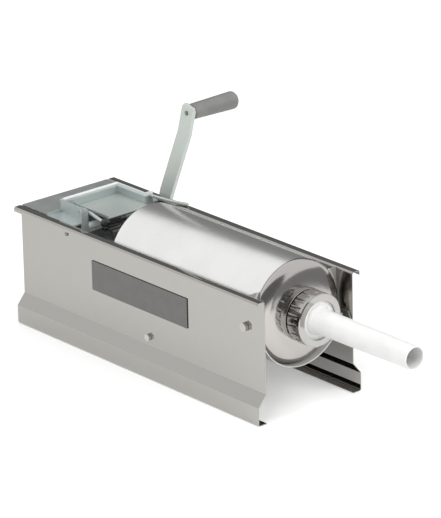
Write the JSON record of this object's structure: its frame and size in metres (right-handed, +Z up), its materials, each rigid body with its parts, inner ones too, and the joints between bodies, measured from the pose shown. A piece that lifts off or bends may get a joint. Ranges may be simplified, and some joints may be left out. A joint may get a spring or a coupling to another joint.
{
  "type": "sausage stuffer",
  "caption": "Horizontal sausage stuffer: a lying cylinder in an open sheet-metal trough, with a side crank that drives a toothed rack and piston, and a nozzle held by a ring nut.",
  "frame": {"origin": "on the table under the middle of the overall footprint", "axes": "+X along the cylinder towards the nozzle, +Y towards the crank, +Z up"},
  "size_m": [0.6216, 0.2502, 0.2691],
  "materials": {
    "polished_steel": "mirror polished stainless sheet",
    "satin_steel": "satin stainless",
    "zinc_plate": "bright zinc plate with a blue-green tint",
    "dark_steel": "dark oiled steel",
    "bronze": "plain sintered bronze",
    "white_plastic": "smooth white plastic",
    "grey_plastic": "satin grey plastic",
    "black_plastic": "glossy black plastic",
    "seal_rubber": "matte food-grade rubber"
  },
  "bodies": {
    "base": {"left_side_panel": "polished_steel", "right_side_panel": "polished_steel", "rear_panel": "polished_steel", "front_cradle": "satin_steel", "tie_rod": "zinc_plate", "left_cradle_bolt": "satin_steel", "right_cradle_bolt": "satin_steel", "left_tie_bolt": "satin_steel", "right_tie_bolt": "satin_steel", "gear_frame": "zinc_plate", "gear_cover": "zinc_plate", "rack_guide": "white_plastic", "left_guide_bolt": "zinc_plate", "right_guide_bolt": "zinc_plate", "left_bush": "bronze", "right_bush": "bronze", "frame_brace": "zinc_plate", "lever_pin": "satin_steel", "name_plate": "satin_steel"},
    "crank": {"crank_shaft": "zinc_plate", "pinion": "dark_steel", "pinion_pin": "satin_steel", "shaft_retainer": "dark_steel", "crank_arm": "zinc_plate", "crank_nut": "zinc_plate", "grip_axle": "dark_steel", "grip_washer": "zinc_plate"},
    "grip": {"grip": "grey_plastic"},
    "piston": {"rack": "satin_steel", "piston": "white_plastic", "piston_seal": "seal_rubber", "piston_back_plate": "zinc_plate", "piston_screw": "satin_steel"},
    "cylinder": {"cylinder": "satin_steel"},
    "nozzle": {"nozzle": "white_plastic", "nozzle_gasket": "seal_rubber"},
    "ring_nut": {"ring_nut": "polished_steel"},
    "catch": {"catch_lever": "zinc_plate", "catch_knob": "black_plastic"}
  },
  "joints": [
    {"name": "crank_turn", "type": "hinge", "parent": "base", "child": "crank", "pos_m": [-0.22285, -0.04615, 0.13603], "axis": [0, 1, 0], "range_deg": [0, 1480]},
    {"name": "piston_slide", "type": "slide", "parent": "base", "child": "piston", "axis": [1, 0, 0], "range_m": [-0.262, 0]},
    {"name": "grip_spin", "type": "hinge", "parent": "crank", "child": "grip", "pos_m": [-0.18832, 0.05415, 0.25803], "axis": [0, 1, 0], "continuous": true},
    {"name": "cylinder_slide", "type": "slide", "parent": "base", "child": "cylinder", "axis": [1, 0, 0], "range_m": [0, 0.3]},
    {"name": "nozzle_slide", "type": "slide", "parent": "cylinder", "child": "nozzle", "axis": [1, 0, 0], "range_m": [0, 0.0155]},
    {"name": "nut_turn", "type": "hinge", "parent": "nozzle", "child": "ring_nut", "pos_m": [0.15215, -0.04615, 0.114], "axis": [1, 0, 0], "range_deg": [0, 1800]},
    {"name": "catch_swing", "type": "hinge", "parent": "base", "child": "catch", "pos_m": [-0.22285, -0.08665, 0.1577], "axis": [0, 1, 0], "range_deg": [-35, 0]}
  ],
  "couplings": [
    {"joint": "piston_slide", "follows": "crank_turn", "m_per_rad": -0.010125},
    {"joint": "nozzle_slide", "follows": "nut_turn", "m_per_rad": 0.00047746}
  ]
}
